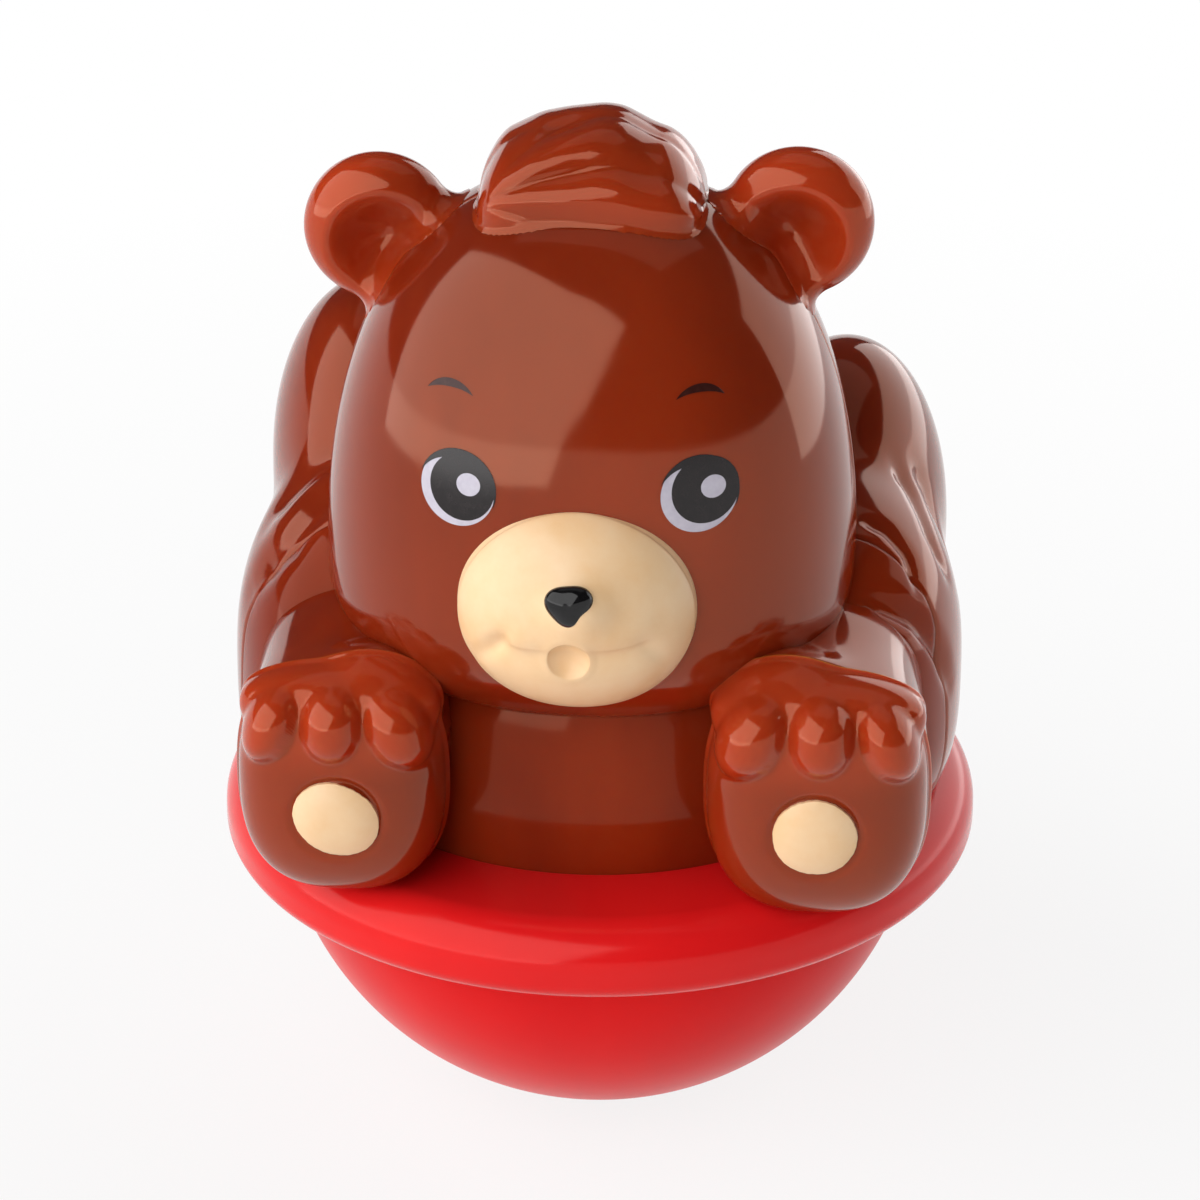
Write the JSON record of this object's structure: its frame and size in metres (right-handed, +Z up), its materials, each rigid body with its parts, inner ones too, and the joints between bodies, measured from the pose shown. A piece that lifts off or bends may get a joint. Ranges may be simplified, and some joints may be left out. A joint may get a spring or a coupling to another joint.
{
  "type": "roly poly toy",
  "caption": "Roly-poly toy: a moulded plastic bear cub crouching on a weighted round-bottomed bowl that rights itself, with a small bell inside that chimes as it rocks.",
  "frame": {"origin": "middle of the small flat under the bowl that the toy stands on", "axes": "+Z up along the bowl's axis, the bear faces -Y, +X is the right side as seen from the front"},
  "size_m": [0.09, 0.093, 0.1282],
  "materials": {
    "red_plastic": "satin gloss moulded plastic",
    "brown_plastic": "high gloss moulded plastic",
    "cream_plastic": "satin moulded plastic",
    "black_plastic": "high gloss",
    "white_plastic": "plain moulded",
    "grey_plastic": "plain moulded",
    "cast_iron": "as cast",
    "steel": "zinc plated",
    "brass": "bright"
  },
  "bodies": {
    "toy": {"base_bowl": "red_plastic", "base_rim": "red_plastic", "ballast_weight": "cast_iron", "ballast_cap": "grey_plastic", "ballast_screws": "steel", "chest_shell": "brown_plastic", "back_shell": "brown_plastic", "body_screws": "steel", "neck_post": "brown_plastic", "deck_screws": "steel", "left_arm": "brown_plastic", "right_arm": "brown_plastic", "left_palm": "brown_plastic", "right_palm": "brown_plastic", "left_paw_pad": "cream_plastic", "right_paw_pad": "cream_plastic", "face_shell": "brown_plastic", "head_back_shell": "brown_plastic", "left_ear": "brown_plastic", "right_ear": "brown_plastic", "hair_tuft": "brown_plastic", "muzzle": "cream_plastic", "nose": "black_plastic", "bell_hanger": "white_plastic", "bell_cup": "brass", "bell_washer": "steel", "clapper_pin": "steel"},
    "clapper": {"bell_clapper": "steel"}
  },
  "joints": [
    {"name": "clapper_swing", "type": "hinge", "parent": "toy", "child": "clapper", "pos_m": [0, -0.012, 0.03181], "axis": [1, 0, 0], "range_deg": [-30, 30]}
  ]
}
